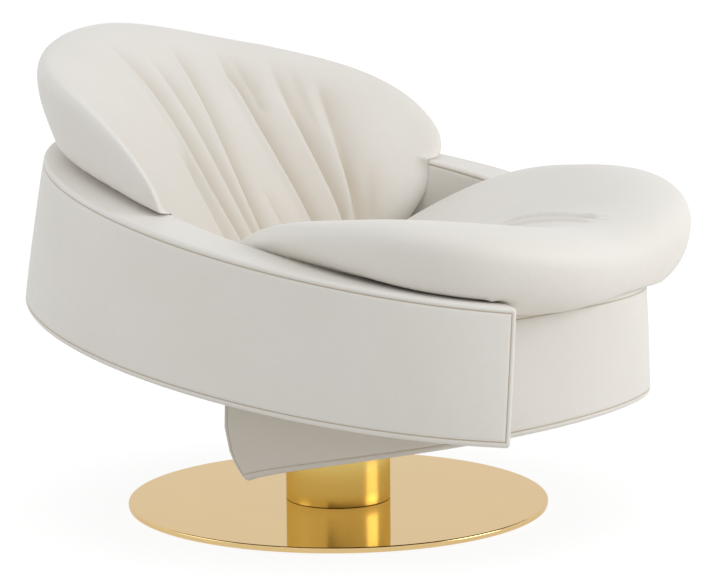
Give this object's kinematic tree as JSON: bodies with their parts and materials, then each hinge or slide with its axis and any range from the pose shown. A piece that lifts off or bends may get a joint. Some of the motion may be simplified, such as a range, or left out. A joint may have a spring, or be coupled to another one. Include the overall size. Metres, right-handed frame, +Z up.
{
  "type": "pedestal swivel armchair",
  "caption": "Low upholstered armchair: one wide ribbon wraps round a seat cushion and a pleated oval back cushion and tucks in behind its own end, on a swivelling tube over a round plate.",
  "frame": {"origin": "on the floor, on the swivel axis, in the middle of the base pad's underside", "axes": "+Z up along the swivel axis, -Y the way the sitter faces at rest, +X the sitter's left"},
  "size_m": [0.8864, 0.9357, 0.6735],
  "materials": {
    "ivory_leather": "smooth matt ivory leather, faint fine grain",
    "polished_gold": "mirror polished gold plate",
    "satin_gold": "satin brushed gold plate",
    "steel": "zinc plated steel",
    "black_paint": "black powder coat",
    "plywood": "bare birch plywood",
    "webbing": "woven elastic webbing",
    "dust_cloth": "black non-woven dust cloth",
    "bearing_plastic": "natural acetal",
    "felt": "dense black felt"
  },
  "bodies": {
    "base": {"base_pad": "felt", "base_disc": "polished_gold", "foot_ring": "steel", "foot_bolt_1": "steel", "foot_bolt_2": "steel", "foot_bolt_3": "steel", "foot_bolt_4": "steel", "pedestal_tube": "satin_gold", "bearing_plate": "steel", "bearing_housing": "steel", "upper_bush": "bearing_plastic", "lower_bush": "bearing_plastic", "thrust_washer": "bearing_plastic"},
    "seat": {"spindle": "steel", "spindle_washer": "bearing_plastic", "spindle_nut": "steel", "swivel_hub": "black_paint", "seat_plate": "black_paint", "plate_bolt_1": "steel", "plate_bolt_2": "steel", "plate_bolt_3": "steel", "plate_bolt_4": "steel", "floor_board": "plywood", "dust_cover": "dust_cloth", "band_core": "plywood", "apron_core": "plywood", "band_upholstery": "ivory_leather", "apron_upholstery": "ivory_leather", "deck_rail_left": "plywood", "deck_rail_right": "plywood", "deck_rail_front": "plywood", "deck_rail_rear": "plywood", "webbing_strap_1": "webbing", "webbing_strap_2": "webbing", "webbing_strap_3": "webbing", "webbing_strap_4": "webbing", "webbing_strap_5": "webbing", "back_panel": "plywood", "back_rib_left": "plywood", "back_rib_middle": "plywood", "back_rib_right": "plywood", "back_cushion": "ivory_leather", "seat_cushion": "ivory_leather"}
  },
  "joints": [
    {"name": "seat_swivel", "type": "hinge", "parent": "base", "child": "seat", "pos_m": [0, 0, 0.2], "axis": [0, 0, 1], "continuous": true}
  ]
}
